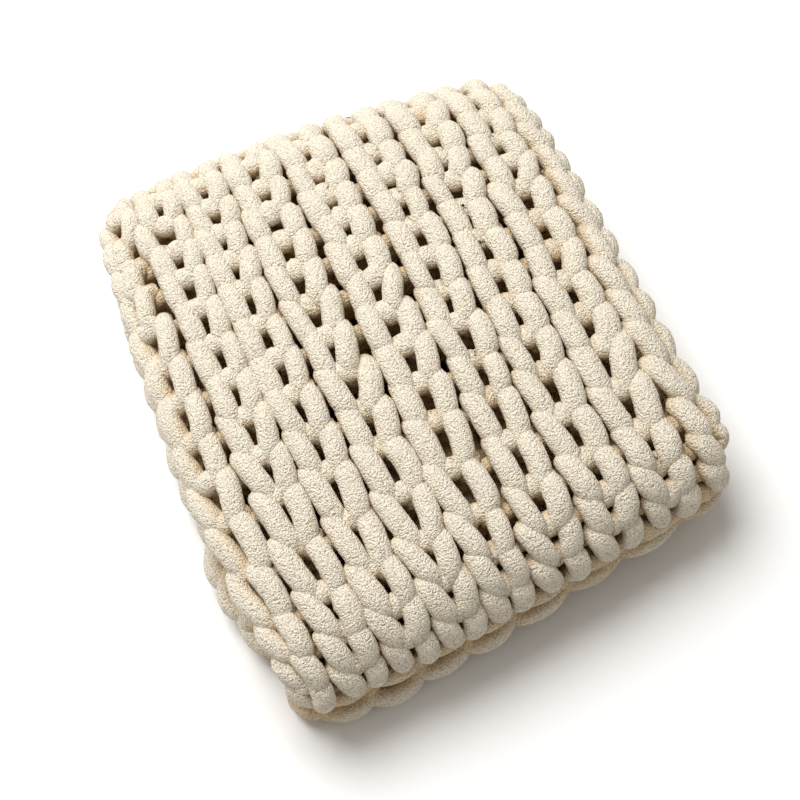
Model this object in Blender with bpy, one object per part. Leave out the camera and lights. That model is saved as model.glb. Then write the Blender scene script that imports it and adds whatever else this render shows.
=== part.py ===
"""Chunky knit blanket, folded once lengthways and once across, lying in a stack of four layers.

The blanket is one thick sheet. The first fold runs along its left side and makes a pair of
layers, an outer and an inner one. The pair is then folded over at the far side, and the upper
pair is longer, so that it turns down over the near side. Metres, +Z up, the stack rests on z = 0
and is centred on its own box. The near side faces -Y and the first fold faces -X.
"""
import math

import bpy
import numpy as np

# Thickness of the knit and the room left between layers
LAYER = 0.028
PAIR_GAP = 0.003
STACK_GAP = 0.006

# Outside of the folded stack, before it settles
STACK_WIDTH = 0.420
STACK_LENGTH = 0.484

# The upper pair hangs this far down the near side, below its turn
FALL = 0.042
# The lower pair ends this far inside the turned-down pair
LOWER_END_INSET = 0.010

# The free side edge of the outer layer curls in towards its purl side
CURL_RADIUS = 0.030
CURL_ANGLE = math.radians(85)
# The inner layer's free edge reaches this far under the curl
INNER_REACH = 0.013

# Rims of the sheet round off over this distance, down to this share of the thickness
RIM_REACH = 0.012
RIM_SHARE = 0.45

# How the stack settles: lower towards its sides and ends, fanned towards the left, soft corners
CROWN_ACROSS = 0.11
CROWN_ALONG = 0.12
FAN_PER_METRE = -0.33
CORNER_PULL = 0.045

# Half width of the settled stack at five places from the near end to the far end
SIDES = (
    {"place": -1.0, "left": 0.206, "right": 0.211},
    {"place": -0.5, "left": 0.214, "right": 0.210},
    {"place": 0.0, "left": 0.213, "right": 0.210},
    {"place": 0.5, "left": 0.205, "right": 0.211},
    {"place": 1.0, "left": 0.194, "right": 0.209},
)

# Facets of each stretch
STEPS_FALL = 4
STEPS_NEAR_TURN = 6
STEPS_TOP = 9
STEPS_FAR_TURN = 12
STEPS_BOTTOM = 9
STEPS_CURL = 6
STEPS_RUN = 9
STEPS_SIDE_FOLD = 8

CREAM = (0.78, 0.70, 0.56, 1.0)
YARN_ROUGHNESS = 0.95

PAIR = 2 * LAYER + PAIR_GAP
TURN_RADIUS = PAIR + STACK_GAP / 2
NEAR_CENTRE = -STACK_LENGTH / 2 + TURN_RADIUS
FAR_CENTRE = STACK_LENGTH / 2 - TURN_RADIUS
SIDE_FOLD_RADIUS = (LAYER + PAIR_GAP) / 2
SIDE_FOLD_CENTRE = -STACK_WIDTH / 2 + SIDE_FOLD_RADIUS + LAYER / 2
CURL_CENTRE = STACK_WIDTH / 2 - (CURL_RADIUS + LAYER / 2) * math.sin(CURL_ANGLE)
INNER_END = CURL_CENTRE + INNER_REACH


def stretch(start, end, steps):
    """Even places from start to end, with the end left to the next stretch."""
    return [start + (end - start) * step / steps for step in range(steps)]


def along_frames():
    """Frames (y, z, lean) of the path from the hanging near end, over the top, to the lower end.

    The frame lies TURN_RADIUS inside the outer face. Its lean is the angle of the outward
    direction from straight up: -90 degrees on the near face, 0 on top, 180 underneath.
    """
    quarter, half = math.pi / 2, math.pi
    lower_end = NEAR_CENTRE + LOWER_END_INSET
    frames = [(NEAR_CENTRE, z, -quarter)
              for z in stretch(TURN_RADIUS - FALL, TURN_RADIUS, STEPS_FALL)]
    frames += [(NEAR_CENTRE, TURN_RADIUS, lean) for lean in stretch(-quarter, 0, STEPS_NEAR_TURN)]
    frames += [(y, TURN_RADIUS, 0) for y in stretch(NEAR_CENTRE, FAR_CENTRE, STEPS_TOP)]
    frames += [(FAR_CENTRE, TURN_RADIUS, lean) for lean in stretch(0, half, STEPS_FAR_TURN)]
    frames += [(y, TURN_RADIUS, half) for y in stretch(FAR_CENTRE, lower_end, STEPS_BOTTOM)]
    frames.append((lower_end, TURN_RADIUS, half))
    return np.array(frames)


def across_line():
    """Middle line (x, depth) of the pair and its outward direction, from free edge to free edge.

    Depth is counted inwards from the outer face. The line curls at the outer free edge, runs
    left, turns round the side fold and runs back right as the inner layer.
    """
    rows = []
    for angle in stretch(CURL_ANGLE, 0, STEPS_CURL):
        x = CURL_CENTRE + CURL_RADIUS * math.sin(angle)
        depth = LAYER / 2 + CURL_RADIUS * (1 - math.cos(angle))
        rows.append((x, depth, math.sin(angle), -math.cos(angle)))
    for x in stretch(CURL_CENTRE, SIDE_FOLD_CENTRE, STEPS_RUN):
        rows.append((x, LAYER / 2, 0, -1))
    for angle in stretch(0, math.pi, STEPS_SIDE_FOLD):
        x = SIDE_FOLD_CENTRE - SIDE_FOLD_RADIUS * math.sin(angle)
        depth = LAYER / 2 + SIDE_FOLD_RADIUS * (1 - math.cos(angle))
        rows.append((x, depth, -math.sin(angle), -math.cos(angle)))
    inner_depth = LAYER * 1.5 + PAIR_GAP
    for x in stretch(SIDE_FOLD_CENTRE, INNER_END, STEPS_RUN):
        rows.append((x, inner_depth, 0, 1))
    rows.append((INNER_END, inner_depth, 0, 1))
    return np.array(rows)


def run_length(points):
    """Distance walked along a line of points, starting at 0."""
    steps = np.linalg.norm(np.diff(points, axis=0), axis=1)
    return np.concatenate([[0.0], np.cumsum(steps)])


def rim_share(walked):
    """Share of the full thickness at each place, rounded off towards both ends of the line."""
    distance = np.minimum(walked, walked[-1] - walked)
    inside = np.clip(distance / RIM_REACH, 0, 1)
    return RIM_SHARE + (1 - RIM_SHARE) * np.sqrt(1 - (1 - inside) ** 2)


def with_rim_places(rows):
    """The same line with one more place close to each of its ends, for the rounded rim."""
    reach = 0.35
    first = rows[0] + (rows[1] - rows[0]) * reach
    last = rows[-1] + (rows[-2] - rows[-1]) * reach
    return np.vstack([rows[:1], first, rows[1:-1], last, rows[-1:]])


def settle(points):
    """Lower the stack towards its sides and ends, fan it, draw its corners and sides in."""
    x, y, z = points[..., 0], points[..., 1], points[..., 2]
    across = np.clip(x / (STACK_WIDTH / 2), -1, 1)
    along = np.clip(y / (STACK_LENGTH / 2), -1, 1)
    place = [row["place"] for row in SIDES]
    left = np.interp(along, place, [row["left"] for row in SIDES])
    right = np.interp(along, place, [row["right"] for row in SIDES])
    corner = 1 - CORNER_PULL * across ** 2 * along ** 2
    half_width = np.where(x < 0, left, right)
    settled_x = x / (STACK_WIDTH / 2) * half_width * corner
    settled_y = y * (1 + FAN_PER_METRE * x) * corner
    settled_z = z * (1 - CROWN_ACROSS * across ** 2 - CROWN_ALONG * along ** 2)
    return np.stack([settled_x, settled_y, settled_z], axis=-1)


def sheet_points():
    """Points of the thick sheet as [place along][place across][outer or inner face]."""
    frames = with_rim_places(along_frames())
    line = with_rim_places(across_line())
    share_along = rim_share(run_length(frames[:, :2]))
    share_across = rim_share(run_length(line[:, :2]))
    half = LAYER / 2 * np.minimum(share_along[:, None], share_across[None, :])
    faces = []
    for side in (1, -1):
        x = line[None, :, 0] + side * half * line[None, :, 2]
        depth = line[None, :, 1] + side * half * line[None, :, 3]
        reach = TURN_RADIUS - depth
        y = frames[:, None, 0] + reach * np.sin(frames[:, None, 2])
        z = frames[:, None, 1] + reach * np.cos(frames[:, None, 2])
        faces.append(np.stack([x, y, z], axis=-1))
    points = settle(np.stack(faces, axis=2))
    low, high = points.min(axis=(0, 1, 2)), points.max(axis=(0, 1, 2))
    middle = (low + high) / 2
    return points - np.array([middle[0], middle[1], low[2]])


def sheet_faces(count_along, count_across):
    """Quads of both faces of the sheet and of its four rims."""
    def corner(i, j, side):
        return (i * count_across + j) * 2 + side

    faces = []
    for i in range(count_along - 1):
        for j in range(count_across - 1):
            outer = [corner(i, j, 0), corner(i + 1, j, 0), corner(i + 1, j + 1, 0), corner(i, j + 1, 0)]
            faces.append(outer)
            faces.append([index + 1 for index in reversed(outer)])
    for i in range(count_along - 1):
        for j, order in ((0, -1), (count_across - 1, 1)):
            rim = [corner(i, j, 0), corner(i + 1, j, 0), corner(i + 1, j, 1), corner(i, j, 1)]
            faces.append(rim[::order])
    for j in range(count_across - 1):
        for i, order in ((0, 1), (count_along - 1, -1)):
            rim = [corner(i, j, 0), corner(i, j + 1, 0), corner(i, j + 1, 1), corner(i, j, 1)]
            faces.append(rim[::order])
    return faces


def yarn_material():
    """Cream chenille yarn."""
    material = bpy.data.materials.new("cream_chenille")
    material.use_nodes = True
    shader = material.node_tree.nodes["Principled BSDF"]
    shader.inputs["Base Color"].default_value = CREAM
    shader.inputs["Roughness"].default_value = YARN_ROUGHNESS
    shader.inputs["Metallic"].default_value = 0.0
    return material


def build_blanket():
    """The whole blanket as one closed, folded sheet."""
    points = sheet_points()
    count_along, count_across = points.shape[:2]
    mesh = bpy.data.meshes.new("blanket")
    mesh.from_pydata(points.reshape(-1, 3).tolist(), [], sheet_faces(count_along, count_across))
    mesh.materials.append(yarn_material())
    mesh.shade_smooth()
    blanket = bpy.data.objects.new("blanket", mesh)
    bpy.context.scene.collection.objects.link(blanket)
    return blanket


for old in list(bpy.data.objects):
    bpy.data.objects.remove(old)
build_blanket()
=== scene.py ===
import bpy
import numpy as np
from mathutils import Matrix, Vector


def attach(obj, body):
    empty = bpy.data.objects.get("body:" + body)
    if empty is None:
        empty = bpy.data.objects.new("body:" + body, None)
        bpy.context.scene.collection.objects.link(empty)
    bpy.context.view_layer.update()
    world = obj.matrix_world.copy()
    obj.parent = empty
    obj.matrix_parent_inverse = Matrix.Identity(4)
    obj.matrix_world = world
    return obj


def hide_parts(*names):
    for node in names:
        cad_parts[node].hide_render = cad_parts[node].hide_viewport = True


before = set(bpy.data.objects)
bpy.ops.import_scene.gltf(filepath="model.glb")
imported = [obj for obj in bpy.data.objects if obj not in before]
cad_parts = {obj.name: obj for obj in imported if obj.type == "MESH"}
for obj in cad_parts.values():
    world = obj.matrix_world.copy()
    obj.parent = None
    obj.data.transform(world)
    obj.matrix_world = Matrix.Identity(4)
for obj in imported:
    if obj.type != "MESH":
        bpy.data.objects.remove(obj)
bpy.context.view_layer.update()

print("frame loaded")

# how the cloth is folded, in metres: two pairs of layers, a pair folded at the left
fold = {
    "layer": 0.028,
    "pairGap": 0.003,
    "stackGap": 0.006,
    "width": 0.420,
    "length": 0.484,
    "fall": 0.042,                  # how far the near end hangs down
    "curlRadius": 0.030,            # the free side edge rolls down
    "curlAngle": np.radians(85),
    "crownAcross": 0.11,            # shares of the height lost at the sides and at the ends
    "crownAlong": 0.12,
    "fan": -0.33,                   # share of its length that the stack gains for each metre to the right
    "cornerPull": 0.045,
    "farSkew": 0.022,               # the far end lies a little further out at the right
    "farSkewFrom": 0.6,             # from this share of the half length on
    "sidePlaces": (-1.0, -0.5, 0.0, 0.5, 1.0),
    "leftSide": (0.205, 0.211, 0.207, 0.200, 0.191),
    "rightSide": (0.226, 0.213, 0.212, 0.216, 0.217),
    "lowerOut": 0.009,              # the lower layers stick out at the left, near the near end
    "lowerOutAt": -0.110,           # most of all here, and this far to either side
    "lowerOutReach": 0.035,
    "lowerHeights": (0.055, 0.035),     # not at all above the first height, in full below the second
    "middle": (-0.0015, 0.0),
}
turnRadius = 2 * fold["layer"] + fold["pairGap"] + fold["stackGap"] / 2
pathRadius = turnRadius - fold["layer"] / 2
nearCentre = turnRadius - fold["length"] / 2
farCentre = fold["length"] / 2 - turnRadius
sideRadius = (fold["layer"] + fold["pairGap"]) / 2
sideCentre = sideRadius + fold["layer"] / 2 - fold["width"] / 2
curlCentre = fold["width"] / 2 - (fold["curlRadius"] + fold["layer"] / 2) * np.sin(fold["curlAngle"])
curlLength = fold["curlRadius"] * fold["curlAngle"]
runLength = curlCentre - sideCentre
sideLength = np.pi * sideRadius


# 0 up to the start, 1 from the end on and even in between; the end may be the smaller of the two
def ramp(value, start, end):
    return np.clip((value - start) / (end - start), 0, 1)


# across the cloth: a curl of one arc, a straight run, a half turn at the left, a straight run back
def acrossPlace(s):
    curl = np.clip(fold["curlAngle"] - s / fold["curlRadius"], 0, None)
    top = np.clip(s - curlLength, 0, runLength)
    turn = np.clip(s - curlLength - runLength, 0, sideLength) / sideRadius
    back = np.clip(s - curlLength - runLength - sideLength, 0, None)
    x = curlCentre + fold["curlRadius"] * np.sin(curl) - top - sideRadius * np.sin(turn) + back
    depth = fold["layer"] / 2 + fold["curlRadius"] * (1 - np.cos(curl)) + sideRadius * (1 - np.cos(turn))
    inCurl = s < curlLength
    outX = np.where(inCurl, np.sin(curl), -np.sin(turn))
    outDepth = np.where(inCurl, -np.cos(curl), -np.cos(turn))
    return x, depth, outX, outDepth


# along the cloth: hanging end, quarter turn, top run, half turn at the far side, bottom run
def alongPlace(t):
    quarter, topRun = np.pi / 2 * pathRadius, farCentre - nearCentre
    hang = np.clip(t, None, fold["fall"])
    near = np.clip(t - fold["fall"], 0, quarter)
    top = np.clip(t - fold["fall"] - quarter, 0, topRun)
    far = np.clip(t - fold["fall"] - quarter - topRun, 0, 2 * quarter)
    under = np.clip(t - fold["fall"] - 3 * quarter - topRun, 0, None)
    lean = (near + far) / pathRadius - np.pi / 2
    return nearCentre + top - under, turnRadius - fold["fall"] + hang, lean


# the folded cloth settles: sides bow by a table, corners pull in, height drops with the square of both
def settle(x, y, z):
    across = np.clip(x / (fold["width"] / 2), -1, 1)
    along = np.clip(y / (fold["length"] / 2), -1, 1)
    left = np.interp(along, fold["sidePlaces"], fold["leftSide"])
    right = np.interp(along, fold["sidePlaces"], fold["rightSide"])
    lower = ramp(z, *fold["lowerHeights"]) * (x < 0) * np.abs(across) ** 4
    lower = lower * np.exp(-((y - fold["lowerOutAt"]) / fold["lowerOutReach"]) ** 2)
    half = np.where(x < 0, left, right) + fold["lowerOut"] * lower
    corner = 1 - fold["cornerPull"] * across ** 2 * along ** 2
    drop = 1 - fold["crownAcross"] * across ** 2 - fold["crownAlong"] * along ** 2
    skewed = y * (1 + fold["fan"] * x) + fold["farSkew"] * x * ramp(along, fold["farSkewFrom"], 1)
    return x / (fold["width"] / 2) * half * corner, skewed * corner, z * drop


# s across, t along and n outwards from the middle of the cloth -> a place in the room
def clothPoint(s, t, n):
    x, depth, outX, outDepth = acrossPlace(s)
    y, z, lean = alongPlace(t)
    reach = turnRadius - (depth + n * outDepth)
    px, py, pz = settle(x + n * outX, y + reach * np.sin(lean), z + reach * np.cos(lean))
    return np.stack([px - fold["middle"][0], py - fold["middle"][1], pz], -1)


# the knitting, in wale widths across, course heights along and millimetres outwards
knit = {
    "waleTimes": (0.10, 0.20, 0.30, 0.40, 0.48),     # metres along where the wale lines are given
    "waleLines": (                                   # millimetres across, from the free edge
        (10, 10, 10, 10, 10),
        (75, 70, 62, 56, 52),
        (126, 122, 115, 110, 103),
        (176, 169, 161, 156, 156),
        (223, 217, 210, 208, 208),
        (267, 267, 267, 265, 261),
        (311, 312, 313, 313, 312),
        (357, 355, 354, 355, 355),
        (399, 399, 399, 399, 399),
    ),
    "innerPitch": 49.8,             # millimetres from wale to wale on the inner layer
    "innerWales": 8,
    # the rows of holes, in millimetres along, and how far along its course each row lies
    "holeLines": (66, 90, 119, 157, 203, 236, 272, 307, 341, 376, 408, 435, 463, 491),
    "holeAt": 0.60,
    "nearPitch": 25.0,              # millimetres before the first row
    "underPitch": 31.0,             # and from row to row after the last
    "courses": 29,
    # across, along, outwards, half width, half thickness: one stitch from the left sinker on
    "stitch": (
        (0.00, 0.24, 0.4, 10.6, 8.4),
        (0.09, 0.23, -0.2, 10.4, 8.2),
        (0.20, 0.18, -4.6, 9.0, 7.8),
        (0.285, 0.17, -3.2, 8.8, 8.0),
        (0.30, 0.27, 1.2, 9.6, 8.4),
        (0.295, 0.43, 4.8, 10.4, 8.8),
        (0.28, 0.60, 6.2, 10.6, 9.0),
        (0.265, 0.76, 6.8, 10.4, 9.0),
        (0.24, 0.92, 6.7, 10.4, 9.0),
        (0.205, 1.07, 6.2, 10.2, 8.8),
        (0.17, 1.21, 4.8, 9.8, 8.6),
        (0.11, 1.33, 0.6, 8.8, 8.2),
        (0.11, 1.40, -4.5, 8.2, 7.8),
        (0.20, 1.43, -7.5, 7.8, 7.4),
        (0.34, 1.42, -7.8, 7.8, 7.4),
        (0.48, 1.42, -5.0, 8.0, 7.6),
        (0.60, 1.40, -7.5, 7.6, 7.4),
        (0.69, 1.35, -8.0, 7.6, 7.4),
        (0.715, 1.29, -4.0, 8.6, 8.0),
        (0.71, 1.20, 2.0, 9.5, 8.4),
        (0.70, 1.08, 4.9, 10.2, 8.8),
        (0.69, 0.93, 6.2, 10.6, 9.0),
        (0.685, 0.77, 6.7, 10.7, 9.0),
        (0.68, 0.58, 6.7, 10.7, 9.0),
        (0.675, 0.36, 6.0, 10.4, 8.8),
        (0.67, 0.17, 4.2, 10.0, 8.6),
        (0.675, 0.06, -1.0, 9.0, 8.2),
        (0.78, 0.11, -4.2, 8.6, 8.0),
        (0.90, 0.20, -0.8, 10.0, 8.2),
    ),
    # which places of the stitch are its left leg, its right leg or rope, its rungs and its front
    "leftLegAcross": (0.72, 0.47),
    "leftLegAlong": (1.35, 1.10),
    "leftLegOut": -3,
    "ropeAcross": (0.60, 0.65),
    "ropeEnd": 0.75,
    "rungEnds": (0.10, 0.85),
    "frontOut": 1,
    # the turn at a side edge, in the same columns
    "edgeTurn": (
        (0.80, 0.05, -2.0, 8.6, 8.2),
        (0.91, 0.16, 3.0, 9.8, 8.4),
        (0.96, 0.38, 6.5, 11.0, 8.8),
        (0.97, 0.62, 7.5, 11.4, 9.2),
        (0.95, 0.86, 5.0, 10.4, 8.8),
        (0.92, 1.03, 2.0, 9.4, 8.4),
        (0.94, 1.20, 4.5, 10.2, 8.6),
        (0.97, 1.42, 7.5, 11.2, 9.2),
        (0.97, 1.66, 6.5, 11.0, 8.8),
        (0.92, 1.86, 2.0, 9.4, 8.2),
        (0.86, 1.76, -6.0, 8.0, 7.8),
        (0.80, 1.40, -7.0, 8.0, 7.8),
        (0.77, 1.16, -5.0, 8.2, 8.0),
    ),
    # patches of the top: the runs of courses, then of wales, over which each one sets in
    "patches": {
        "near": (((4, 1),), ()),
        "nearLeft": (((7, 3),), ((0, 3),)),
        "farLeft": (((6, 9),), ((3, 6), (8, 7))),
        "farOpen": (((4.5, 7.5),), ((2.5, 4.5), (8, 7))),
        "right": ((), ((4.2, 3.2),)),
        "farRight": (((5, 7),), ((4.2, 3.2),)),
        "drawn": (((5, 7), (13, 11)), ((1, 2.5), (6.5, 5))),
        "farRungs": (((5, 8),), ()),
    },
    # how far the legs lean over the height of a course, about this place in it
    "leanAbout": 0.75,
    "nearLean": 0.12,               # both legs, near left
    "farLeftLean": 0.03,            # the left legs, far left
    "rightLean": 0.07,              # the left legs at the right
    "rightLeanNear": 0.5,           # and this share of it where the near left's lean takes over
    "edgeLean": 0.07,               # the last rope leans out over the free edge
    # how far the legs lie off their places
    "nearSpread": 0.035,            # the legs of the last courses lie evenly side by side
    "farClose": 0.02,               # the left legs of the far courses lie closer to the ropes at their right
    "farRightOff": 0.04,            # those of the far right further from them
    # wale, first and last course, how far the left leg and the right leg lie off their places
    "offPlaces": (
        (5, 3, 7, -0.04, 0.02),
        (6, 3, 6, -0.02, 0.02),
        (7, 0, 3, -0.09, 0.01),
        (7, 4, 7, -0.05, 0.06),
        (7, 8, 9, -0.06, 0.04),
        (7, 10, 10, -0.22, -0.01),
        (7, 11, 11, -0.27, 0.00),
        (7, 12, 12, -0.32, -0.17),
        (4, 7, 10, -0.05, 0.01),
        (3, 8, 10, -0.03, 0.01),
        (5, 8, 11, -0.04, -0.02),
        (2, 3, 5, -0.02, 0.02),
        (3, 2, 5, -0.02, 0.03),
        (8, 0, 13, 0.06, 0.12),
        (0, 0, 6, -0.02, -0.05),
    ),
    "farRungs": 0.09,               # the rungs of the far courses lie this much nearer
    "rungsRise": 3.4,               # millimetres the rungs rise where the knitting is drawn open or far left
    "rungsWide": 0.12,              # and share of their width they gain there
    "rungsElsewhere": 0.35,         # share of both that the other rungs get
    "innerRise": 3.0,               # millimetres the inner layer rises into the outer one
    "foldBulge": 2.5,               # millimetres the legs swell outwards round the left fold
    "foldPinch": 0.3,               # and this share of it drawn in all along them
    # shares of the width: lost over the front in two patches, lost by the far legs, gained at the far right
    "drawnNarrow": 0.015,
    "nearNarrow": 0.02,
    "farNarrow": 0.12,
    "farNarrowRope": 0.4,           # the ropes lose this much of what the left legs lose
    "farRightWide": 0.06,
    "fullPitch": 52.0,              # the yarn narrows where the wales lie closer than this, in millimetres
    "leastFull": 0.90,
    "edgeFull": 1.12,               # the last wale may be fuller
    # how much the stitches stray at random, in the order of the draws
    "stray": {
        "across": 0.018,
        "leftLean": 0.06,
        "along": 0.045,
        "out": 0.8,
        "width": 0.05,
        "thick": 0.04,
        "ropeLean": 0.04,
        "rungOut": 1.5,
    },
    "seed": 11,
    # the yarn is cut into lengths, and each one starts with this course
    "lengths": {
        "knit_under_first": 28,
        "knit_under_second": 23,
        "knit_far_turn": 17,
        "knit_top_far": 12,
        "knit_top_near": 7,
        "knit_near_end": 3,
    },
}
outerWales = len(knit["waleLines"]) - 1
waleCount = outerWales + knit["innerWales"]


# courses -> metres along: rows of holes by their table, then evenly spaced ones, and straight runs between
def alongAt(q):
    holes = np.array(knit["holeLines"], float)
    under = np.arange(1, knit["courses"] - len(holes) + 2)
    holes = np.concatenate([[holes[0] - knit["nearPitch"]], holes, holes[-1] + knit["underPitch"] * under])
    return np.interp(q, np.arange(len(holes)) - 1 - knit["holeAt"], holes) / 1000


# wales -> metres across: the lines of the table as they are at t, then evenly spaced ones, straight between
def acrossAt(p, t):
    lines = np.stack([np.interp(t, knit["waleTimes"], row) for row in knit["waleLines"]])
    inner = np.arange(1, knit["innerWales"] + 1).reshape((-1,) + (1,) * np.ndim(t))
    lines = np.concatenate([lines, lines[-1] + knit["innerPitch"] * inner])
    low = np.clip(np.floor(p).astype(int), 0, waleCount - 1)
    before = np.take_along_axis(lines, low[None], 0)[0]
    after = np.take_along_axis(lines, low[None] + 1, 0)[0]
    return (before + (after - before) * (p - low)) / 1000


# how much of a patch's change each stitch of a course gets: its ramps, multiplied
def inPatch(name, course, wales):
    courseRuns, waleRuns = knit["patches"][name]
    share = np.ones(wales.shape)
    for start, end in courseRuns:
        share = share * ramp(course, start, end)
    for start, end in waleRuns:
        share = share * ramp(wales, start, end)
    return share


# random draws, one row for each stitch, each column times how much its measure strays
def strays(rng, amounts):
    draws = rng.normal(0, 1, (waleCount, len(amounts)))
    return {name: amount * draws[:, i:i + 1] for i, (name, amount) in enumerate(amounts.items())}


# control points of one course, from the inner free edge to the outer one: columns s, t, n, width, thickness.
# Each is its place in the stitch plus what its leg leans and shifts, by patch, by table and at random
def courseControls(course, rng):
    wales = np.arange(waleCount - 1, -1, -1)[:, None]
    stitchAcross, stitchAlong, stitchOut, stitchWidth, stitchThick = np.array(knit["stitch"]).T
    leftLeg = ramp(stitchAcross, *knit["leftLegAcross"]) * ramp(stitchAlong, *knit["leftLegAlong"])
    leftLeg = leftLeg * (stitchOut > knit["leftLegOut"])
    rope = ramp(stitchAcross, *knit["ropeAcross"]) * (stitchAcross < knit["ropeEnd"])
    rung = (stitchAcross < knit["rungEnds"][0]) | (stitchAcross > knit["rungEnds"][1])
    front = stitchOut > knit["frontOut"]
    patch = {name: inPatch(name, course, wales) for name in knit["patches"]}
    stray = strays(rng, knit["stray"])

    rightLean = knit["rightLean"] * patch["right"] * (1 - knit["rightLeanNear"] * patch["nearLeft"])
    nearLean = knit["nearLean"] * patch["nearLeft"]
    leftLean = nearLean + knit["farLeftLean"] * patch["farLeft"] + rightLean + stray["leftLean"]
    ropeLean = nearLean + knit["edgeLean"] * (wales == 0) + stray["ropeLean"]
    ropeShift = knit["nearSpread"] * patch["near"]
    leftShift = knit["farClose"] * patch["farOpen"] - knit["farRightOff"] * patch["farRight"] - ropeShift
    for wale, first, last, leftOff, ropeOff in knit["offPlaces"]:
        here = (wales == wale) & (first <= course <= last)
        leftShift = leftShift + leftOff * here
        ropeShift = ropeShift + ropeOff * here
    height = stitchAlong - knit["leanAbout"]
    across = stitchAcross + stray["across"]
    across = across + (leftLean * height + leftShift) * leftLeg + (ropeLean * height + ropeShift) * rope

    waves = np.sin(np.linspace(0, 2 * np.pi, len(stitchAlong))) ** 2
    along = stitchAlong + stray["along"] * waves + knit["farRungs"] * patch["farRungs"] * rung

    openness = np.maximum(patch["drawn"], patch["farOpen"])
    raised = rung * (knit["rungsElsewhere"] + (1 - knit["rungsElsewhere"]) * openness)
    swell = np.sin(np.pi * np.clip(stitchAlong, 0, 1)) ** 2 * (stitchOut > 0) - knit["foldPinch"]
    out = stitchOut + stray["out"] + stray["rungOut"] * rung + knit["rungsRise"] * raised
    out = out + knit["foldBulge"] * swell * (wales == outerWales) - knit["innerRise"] * (wales > outerWales)

    t = alongAt(course - along)
    s = acrossAt(wales + 1 - across, t)
    pitch = 1000 * (acrossAt(wales + 1, t) - acrossAt(wales, t))
    fullest = np.where(wales == 0, knit["edgeFull"], 1)
    full = 1 - (knit["drawnNarrow"] * patch["drawn"] + knit["nearNarrow"] * patch["near"]) * front
    full = full - knit["farNarrow"] * patch["farOpen"] * (leftLeg + knit["farNarrowRope"] * rope)
    full = full + knit["farRightWide"] * patch["farRight"] * leftLeg + knit["rungsWide"] * raised
    full = full * np.clip(pitch / knit["fullPitch"], knit["leastFull"], fullest)
    width = stitchWidth * full * (1 + stray["width"])
    thick = stitchThick * (1 + stray["thick"])
    return np.stack([s, t, out / 1000, width / 1000, thick / 1000], -1).reshape(-1, 5)


# control points of the turn at a side edge, from a course to the next one: its table set at that edge
def turnControls(course, rightSide):
    table = np.array(knit["edgeTurn"])
    p = 1 - table[:, 0] if rightSide else waleCount - 1 + table[:, 0]
    t = alongAt(course - table[:, 1])
    return np.stack([acrossAt(p, t), t, *(table[:, 2:].T / 1000)], -1)


# the bound-off edge: links of a chain, in links along it, millimetres from its middle, millimetres outwards
chain = {
    "link": (
        (0.00, -4.0, -9.0, 8.0, 8.0),
        (0.05, -9.0, -3.5, 8.4, 8.0),
        (0.18, -14.0, 2.0, 9.8, 8.6),
        (0.42, -17.0, 5.0, 11.6, 9.2),
        (0.68, -16.0, 5.5, 11.8, 9.2),
        (0.94, -12.0, 2.5, 10.2, 8.6),
        (1.12, -7.0, -3.5, 8.6, 8.0),
        (1.16, 0.0, -7.0, 8.4, 7.8),
        (1.14, 5.0, -4.0, 8.6, 8.0),
        (1.02, 7.0, -1.5, 9.6, 8.4),
        (0.78, 9.0, 1.5, 11.2, 9.0),
        (0.50, 11.0, 2.0, 11.4, 9.0),
        (0.26, 11.5, -1.0, 10.0, 8.4),
        (0.10, 11.0, -5.0, 8.4, 7.8),
        (0.16, 2.0, -7.0, 8.4, 7.8),
        (0.50, -2.5, -5.0, 10.5, 8.4),
        (0.85, -4.5, -6.5, 10.0, 8.2),
    ),
    "edges": {"bound_off_edge": (32.0, True), "cast_on_edge": (962.0, False)},   # where along, hanging or not
    "leftWales": (2, 6),            # where the left side of an edge sets in
    "hang": 18.0,                   # millimetres it hangs further down there, if it hangs
    "hangWide": 0.216,              # and share of its width it gains
    "lift": 2.0,                    # millimetres further up for what doesn't hang
    "flare": 7.0,                   # millimetres the left side stands further out
    "flareWales": (8.6, 6.6),       # but not beyond the fold
    "lowStrands": (6.0, -12.0),     # strands below the first of these do so more, below the second in full
    "upperShare": 0.3,              # and the strands above them by this share
    "edgeInset": 0.05,
    "shadeSunk": 0.006,                  # painted shade: the chain is coloured as tan as yarn this much deeper
    "stray": {"link": 0.03, "along": 0.8, "out": 0.8, "width": 0.04},
    "seed": 5,
}


# control points of an edge: the link repeated from wale to wale, with its left side let down and flared
def chainControls(middle, hanging):
    linkAcross, linkAlong, linkOut, linkWidth, linkThick = np.array(chain["link"]).T
    stray = strays(np.random.default_rng(chain["seed"]), chain["stray"])
    p = waleCount - np.arange(waleCount)[:, None] - linkAcross * (1 + stray["link"])
    left = ramp(p, *chain["leftWales"])
    hangs = left * hanging
    low = chain["upperShare"] + (1 - chain["upperShare"]) * ramp(linkAlong, *chain["lowStrands"])
    along = linkAlong + stray["along"] - chain["hang"] * low * hangs + chain["lift"] * (1 - hangs)
    out = linkOut + stray["out"] + chain["flare"] * left * ramp(p, *chain["flareWales"]) * low
    width = linkWidth * (1 + stray["width"]) * (1 + chain["hangWide"] * low * hangs)
    thick = np.broadcast_to(linkThick, p.shape)
    t = (middle + along) / 1000
    s = acrossAt(np.clip(p, chain["edgeInset"], None), t)
    return np.stack([s, t, out / 1000, width / 1000, thick / 1000], -1).reshape(-1, 5)


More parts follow.
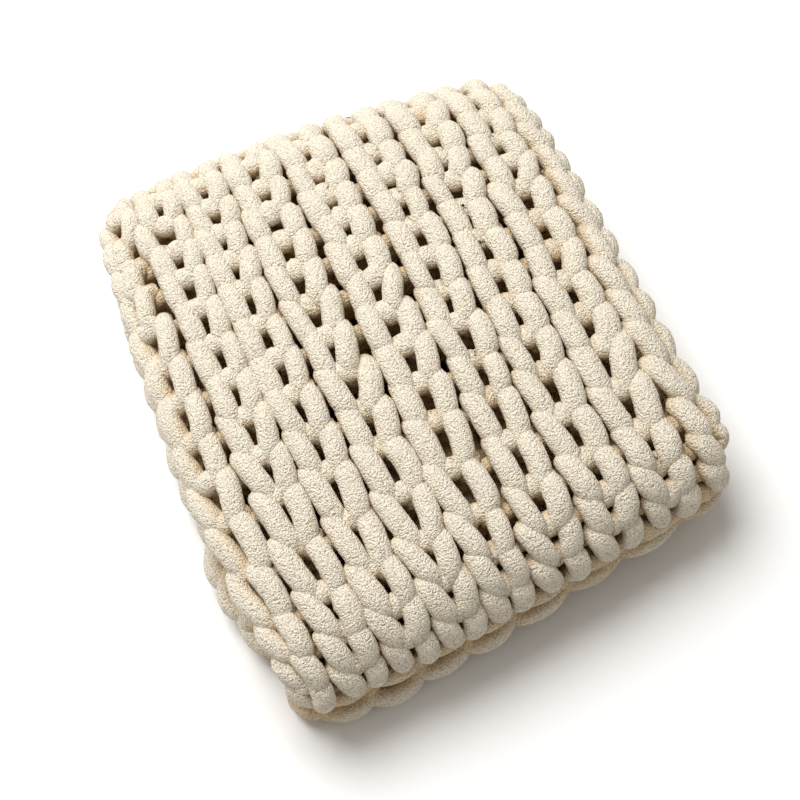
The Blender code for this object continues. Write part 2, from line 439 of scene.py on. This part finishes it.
# the whole blanket is one yarn, course after course, back and forth; marks say where each course starts
def knitYarn():
    rng = np.random.default_rng(knit["seed"])
    rows, marks = [], {}
    for course in range(knit["courses"] - 1, -1, -1):
        marks[course] = sum(len(row) for row in rows)
        row = courseControls(course, rng)
        toRight = (knit["courses"] - 1 - course) % 2 == 0
        rows.append(row if toRight else row[::-1])
        if course > 0:
            rows.append(turnControls(course, toRight))
    return np.concatenate(rows), marks


# how the yarn follows its line
tube = {
    "sides": 16,
    "ringsPerPoint": 2,
    "probe": 0.002,                 # metres to either side of a place where its directions are measured
    "squeezeLimits": (0.2, 1.1),    # how much a turn may squeeze or stretch the cloth
    "squeezePower": 0.4,            # and the power of it that the yarn gives way by
    "lumps": ((0.035, 0.016, 3), (0.030, 0.007, 4), (0.050, 0.0035, 5)),     # share, metres, seed
    "floorEase": 0.004,
    "floorEases": 3,                # the ease reaches this many times its own size up from the floor
}
# the lattice of random values behind its lumps
noise = {
    "values": 4096,
    "strides": (73, 1471, 2903),    # how far the next cell's value lies from this cell's, in x, y and z
    "origin": 91.7,
}


# a vector over its own length
def unit(v):
    return v / np.maximum(np.linalg.norm(v, axis=-1, keepdims=True), 1e-12)


# soft random lumps: random values on a cubic lattice, eased and mixed between its corners, -1 to 1
def softNoise(points, size, seed):
    table = np.random.default_rng(seed).uniform(-1, 1, noise["values"])
    q = points / size + noise["origin"]
    base = np.floor(q).astype(np.int64)
    f = q - base
    f = f * f * (3 - 2 * f)
    total = 0
    for corner in range(8):
        step = np.array([corner & 1, corner >> 1 & 1, corner >> 2 & 1])
        key = ((base + step) * noise["strides"]).sum(-1) % noise["values"]
        total = total + table[key] * np.prod(np.where(step, f, 1 - f), -1)
    return total


# a smooth line near its control points: each is pushed out by a sixth of its bend, then a cubic B-spline
def smoothLine(controls):
    steps = tube["ringsPerPoint"]
    padded = np.concatenate([controls[:1], controls, controls[-1:]])
    controls = padded[1:-1] - (padded[:-2] - 2 * padded[1:-1] + padded[2:]) / 6
    p = np.concatenate([2 * controls[:1] - controls[1:2], controls, 2 * controls[-1:] - controls[-2:-1]])
    f = (np.arange(steps) / steps)[None, :, None]
    a, b, c, d = (p[i:len(p) - 3 + i, None] for i in range(4))
    line = ((1 - f) ** 3 * a + (3 * f ** 3 - 6 * f ** 2 + 4) * b
            + (-3 * f ** 3 + 3 * f ** 2 + 3 * f + 1) * c + f ** 3 * d) / 6
    return line.reshape(-1, controls.shape[1])


# an oval ring round each place of the line, its width along the cloth and its thickness outwards, times the
# squeeze and the lumps, and eased up from the floor; also how far outwards in the cloth each point lies
def tubeRings(line):
    s, t, n, width, thick = line.T
    probe = tube["probe"]
    centre = clothPoint(s, t, n)
    normal = unit(clothPoint(s, t, n + probe) - clothPoint(s, t, n - probe))
    run = unit(np.gradient(centre, axis=0))
    side = unit(np.cross(run, normal))
    up = np.cross(side, run)
    squeeze = np.linalg.norm(clothPoint(s, t + probe, n) - clothPoint(s, t - probe, n), axis=1) / (2 * probe)
    squeeze = np.clip(squeeze, *tube["squeezeLimits"]) ** tube["squeezePower"]
    angle = (-np.pi / 2 + 2 * np.pi * np.arange(tube["sides"]) / tube["sides"])[:, None]
    ring = (side[:, None] * (width * squeeze)[:, None, None] * np.cos(angle)
            + up[:, None] * (thick * squeeze)[:, None, None] * np.sin(angle))
    lumps = sum(share * softNoise(centre[:, None] + ring, size, seed) for share, size, seed in tube["lumps"])
    points = centre[:, None] + ring * (1 + lumps)[..., None]
    ease, height = tube["floorEase"], points[..., 2]
    eased = (height + np.sqrt(height ** 2 + ease ** 2)) / 2
    points[..., 2] = np.where(height < tube["floorEases"] * ease, eased, height)
    return points, n[:, None] + (ring * normal[:, None]).sum(-1)


# a closed tube: its rings joined by quads, with a fan of triangles over each end
def yarnTube(name, line, shadeSunk=0.0):
    points, outwards = tubeRings(line)
    rings, sides = outwards.shape
    corner = np.arange(rings * sides).reshape(rings, sides)
    after = np.roll(corner, -1, 1)
    quads = np.stack([corner[:-1], corner[1:], after[1:], after[:-1]], -1).reshape(-1, 4)
    first, last = rings * sides, rings * sides + 1
    caps = np.concatenate([
        np.stack([np.full(sides, first), corner[0], after[0]], -1),
        np.stack([np.full(sides, last), after[-1], corner[-1]], -1)])
    vertices = np.concatenate([points.reshape(-1, 3), points[0].mean(0)[None], points[-1].mean(0)[None]])
    corners = np.concatenate([quads.ravel(), caps.ravel()])
    starts = np.concatenate([4 * np.arange(len(quads)), quads.size + 3 * np.arange(len(caps))])
    mesh = bpy.data.meshes.new(name)
    mesh.vertices.add(len(vertices))
    mesh.vertices.foreach_set("co", vertices.astype(np.float32).ravel())
    mesh.loops.add(len(corners))
    mesh.loops.foreach_set("vertex_index", corners.astype(np.int32))
    mesh.polygons.add(len(starts))
    mesh.polygons.foreach_set("loop_start", starts.astype(np.int32))
    mesh.polygons.foreach_set("use_smooth", np.ones(len(starts), bool))
    # the material paints shade from how far outwards in the cloth each point lies, the ends' middles as their
    # line does; a sunk piece gets the painted shade of deeper yarn
    outwards = np.concatenate([outwards.ravel(), line[[0, -1], 2]]) - shadeSunk
    mesh.attributes.new("outwards", "FLOAT", "POINT").data.foreach_set("value", outwards.astype(np.float32))
    mesh.update(calc_edges=True)
    mesh.validate()
    piece = bpy.data.objects.new(name, mesh)
    bpy.context.collection.objects.link(piece)
    print("made", name, len(vertices), "vertices")
    return piece


controls, marks = knitYarn()
line = smoothLine(controls)
starts = [marks[course] * tube["ringsPerPoint"] for course in knit["lengths"].values()]
ends = [start + 1 for start in starts[1:]] + [len(line)]
pieces = [yarnTube(name, line[start:end]) for name, start, end in zip(knit["lengths"], starts, ends)]
for name, (middle, hanging) in chain["edges"].items():
    pieces.append(yarnTube(name, smoothLine(chainControls(middle, hanging)), chain["shadeSunk"]))


# an expression on sockets adds its maths nodes
class Sock:
    def __init__(self, nodes, socket):
        self.nodes, self.socket = nodes, socket

    def maths(self, kind, first, second):
        return self.nodes.add("ShaderNodeMath", {"operation": kind}, {0: first, 1: second})

    def __add__(self, other):
        return self.maths("ADD", self, other)

    def __radd__(self, other):
        return self.maths("ADD", other, self)

    def __sub__(self, other):
        return self.maths("SUBTRACT", self, other)

    def __rsub__(self, other):
        return self.maths("SUBTRACT", other, self)

    def __mul__(self, other):
        return self.maths("MULTIPLY", self, other)

    def __rmul__(self, other):
        return self.maths("MULTIPLY", other, self)


class Nodes:
    def __init__(self, name):
        self.material = bpy.data.materials.new(name)
        self.material.use_nodes = True
        self.tree = self.material.node_tree
        self.tree.nodes.clear()

    # a node of a type, its settings, then the values or links of its sockets; gives one of its outputs
    def add(self, kind, settings=None, inputs=None, output=0):
        node = self.tree.nodes.new(kind)
        for key, value in (settings or {}).items():
            setattr(node, key, value)
        for key, value in (inputs or {}).items():
            if isinstance(value, Sock):
                self.tree.links.new(value.socket, node.inputs[key])
            else:
                node.inputs[key].default_value = value
        return None if output is None else Sock(self, node.outputs[output])

    # smooth step from 0 at low to 1 at high
    def ease(self, value, low, high):
        return self.add("ShaderNodeMapRange", {"interpolation_type": "SMOOTHSTEP"},
                        {"Value": value, "From Min": low, "From Max": high})

    def mix(self, factor, a, b, kind="MIX"):
        settings = {"data_type": "RGBA", "blend_type": kind}
        return self.add("ShaderNodeMix", settings, {0: factor, 6: a, 7: b}, 2)

    def done(self, shader):
        self.add("ShaderNodeOutputMaterial", {}, {"Surface": shader}, None)
        return self.material


# soft chenille: cream nubs; painted shade as darker lines between the nubs and in the hollows between the
# lumps, and painted shade, tan and then brown, where the yarn lies deep
yarnLook = {
    "cream": (0.91, 0.835, 0.695, 1),
    "creamShadedHollow": (0.8736, 0.8016, 0.6672, 1),    # painted shade in the hollows between the lumps
    # painted shade: the colour of the dark lines in the gaps between the nubs
    "line": (0.58, 0.50, 0.40, 1),
    # painted shade: tan, then brown, the deeper the yarn lies in the cloth
    "shadedTan": (0.75, 0.59, 0.38, 1),
    "shadedBrown": (0.72, 0.51, 0.28, 1),
    "creamFrom": 0.012,             # metres out from the middle of the cloth
    "shadedTanAt": 0.002,
    "shadedBrownAt": -0.009,
    "depthStray": 0.004,
    "nub": 0.0019,                  # metres from nub to nub
    "nubStray": 0.002,              # the nubs stray by up to this much, over this size
    "nubStraySize": 0.0035,
    "pile": 0.0010,
    "lump": 0.008,
    # what each adds to the height behind the bump, and the bump's depth in metres
    "nubHeight": 0.8,
    "pileHeight": 0.7,
    "lumpHeight": 0.4,
    "bump": 0.0023,
    "gapShadeNubs": 0.25,               # painted shade: how much the dark lines keep to the gaps between the nubs
    "gapShadeFrom": 0.33,
    "gapShadeTo": 0.46,
    "roughness": 0.95,
    "sheen": 0.2,
    "sheenRoughness": 0.5,
    "specular": 0.1,
}


def chenilleMaterial():
    look = yarnLook
    m = Nodes("cream_chenille")
    place = m.add("ShaderNodeTexCoord", output="Object")
    stray = m.add("ShaderNodeTexNoise", {},
                  {"Vector": place, "Scale": 1 / look["nubStraySize"], "Detail": 1.0}, "Color")
    pushed = m.add("ShaderNodeVectorMath", {"operation": "MULTIPLY_ADD"},
                   {0: stray, 1: (look["nubStray"],) * 3, 2: place})
    nubs = m.add("ShaderNodeTexVoronoi", {}, {"Vector": pushed, "Scale": 1 / look["nub"]}, "Distance")
    pile = m.add("ShaderNodeTexNoise", {},
                 {"Vector": place, "Scale": 1 / look["pile"], "Detail": 2.0, "Roughness": 0.6})
    lumps = m.add("ShaderNodeTexNoise", {}, {"Vector": place, "Scale": 1 / look["lump"], "Detail": 2.0})
    height = (1 - nubs) * look["nubHeight"] + pile * look["pileHeight"] + lumps * look["lumpHeight"]
    bump = m.add("ShaderNodeBump", {},
                 {"Strength": 1.0, "Distance": look["bump"], "Height": height}, "Normal")
    # painted shade: darker lines in the gaps between the nubs
    lines = m.ease(pile + (0.5 - nubs) * look["gapShadeNubs"], look["gapShadeFrom"], look["gapShadeTo"])
    # painted shade: the yarn turns tan, then brown, the deeper it lies in the cloth
    above = m.add("ShaderNodeAttribute", {"attribute_name": "outwards"}, output="Fac")
    above = above + (pile - 0.5) * look["depthStray"]
    # painted shade: darker cream in the hollows between the lumps
    cream = m.mix(lumps, look["creamShadedHollow"], look["cream"])
    body = m.mix(m.ease(above, look["shadedTanAt"], look["creamFrom"]), look["shadedTan"], cream)
    body = m.mix(m.ease(above, look["shadedBrownAt"], look["shadedTanAt"]), look["shadedBrown"], body)
    colour = m.mix(lines, m.mix(1.0, body, look["line"], "MULTIPLY"), body)
    shader = m.add("ShaderNodeBsdfPrincipled", {}, {
        "Base Color": colour,
        "Roughness": look["roughness"],
        "Sheen Weight": look["sheen"],
        "Sheen Roughness": look["sheenRoughness"],
        "Specular IOR Level": look["specular"],
        "Normal": bump,
    }, "BSDF")
    return m.done(shader)


yarnMaterial = chenilleMaterial()
for piece in pieces:
    piece.data.materials.append(yarnMaterial)
    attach(piece, "root")
    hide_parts("blanket")
print("yarn finished")

room = {
    "cameraAt": (-0.2301, -0.4950, 1.2034),
    "cameraAim": (0.1728, 0.3682, -0.9135),
    "lens": 67.5,
    "sensor": 36.0,
    # place, size and power of each soft light
    "lights": {
        "key": ((-0.36, 1.14, 2.05), 1.8, 78),
        "fill": ((1.4, -1.6, 2.0), 2.4, 2),
    },
    "air": (1, 0.945, 0.86, 1),
    "airStrength": 0.32,
    "floor": (0.93, 0.93, 0.93, 1),
    "floorRoughness": 0.9,
    "floorReach": 6,
}


# a camera or a light at a place, turned to look along a direction
def aimed(name, data, at, direction):
    thing = bpy.data.objects.new(name, data)
    thing.location = at
    thing.rotation_euler = Vector(direction).to_track_quat("-Z", "Y").to_euler()
    bpy.context.collection.objects.link(thing)
    return thing


cameraData = bpy.data.cameras.new("camera")
cameraData.lens, cameraData.sensor_width = room["lens"], room["sensor"]
bpy.context.scene.camera = aimed("camera", cameraData, room["cameraAt"], room["cameraAim"])
for name, (at, size, power) in room["lights"].items():
    lightData = bpy.data.lights.new(name, "AREA")
    lightData.shape, lightData.size, lightData.energy = "DISK", size, power
    aimed(name, lightData, at, -Vector(at))
world = bpy.data.worlds.new("world")
bpy.context.scene.world = world
world.use_nodes = True
world.node_tree.nodes["Background"].inputs["Color"].default_value = room["air"]
world.node_tree.nodes["Background"].inputs["Strength"].default_value = room["airStrength"]
bpy.context.scene.view_settings.view_transform = "Standard"

reach = room["floorReach"]
floorCorners = [(-reach, -reach, 0), (reach, -reach, 0), (reach, reach, 0), (-reach, reach, 0)]
floorMesh = bpy.data.meshes.new("floor")
floorMesh.from_pydata(floorCorners, [], [(0, 1, 2, 3)])
floor = bpy.data.objects.new("floor", floorMesh)
bpy.context.collection.objects.link(floor)
floorNodes = Nodes("floor")
floorShader = floorNodes.add("ShaderNodeBsdfPrincipled", {},
                             {"Base Color": room["floor"], "Roughness": room["floorRoughness"]})
floorMesh.materials.append(floorNodes.done(floorShader))
print("room finished")
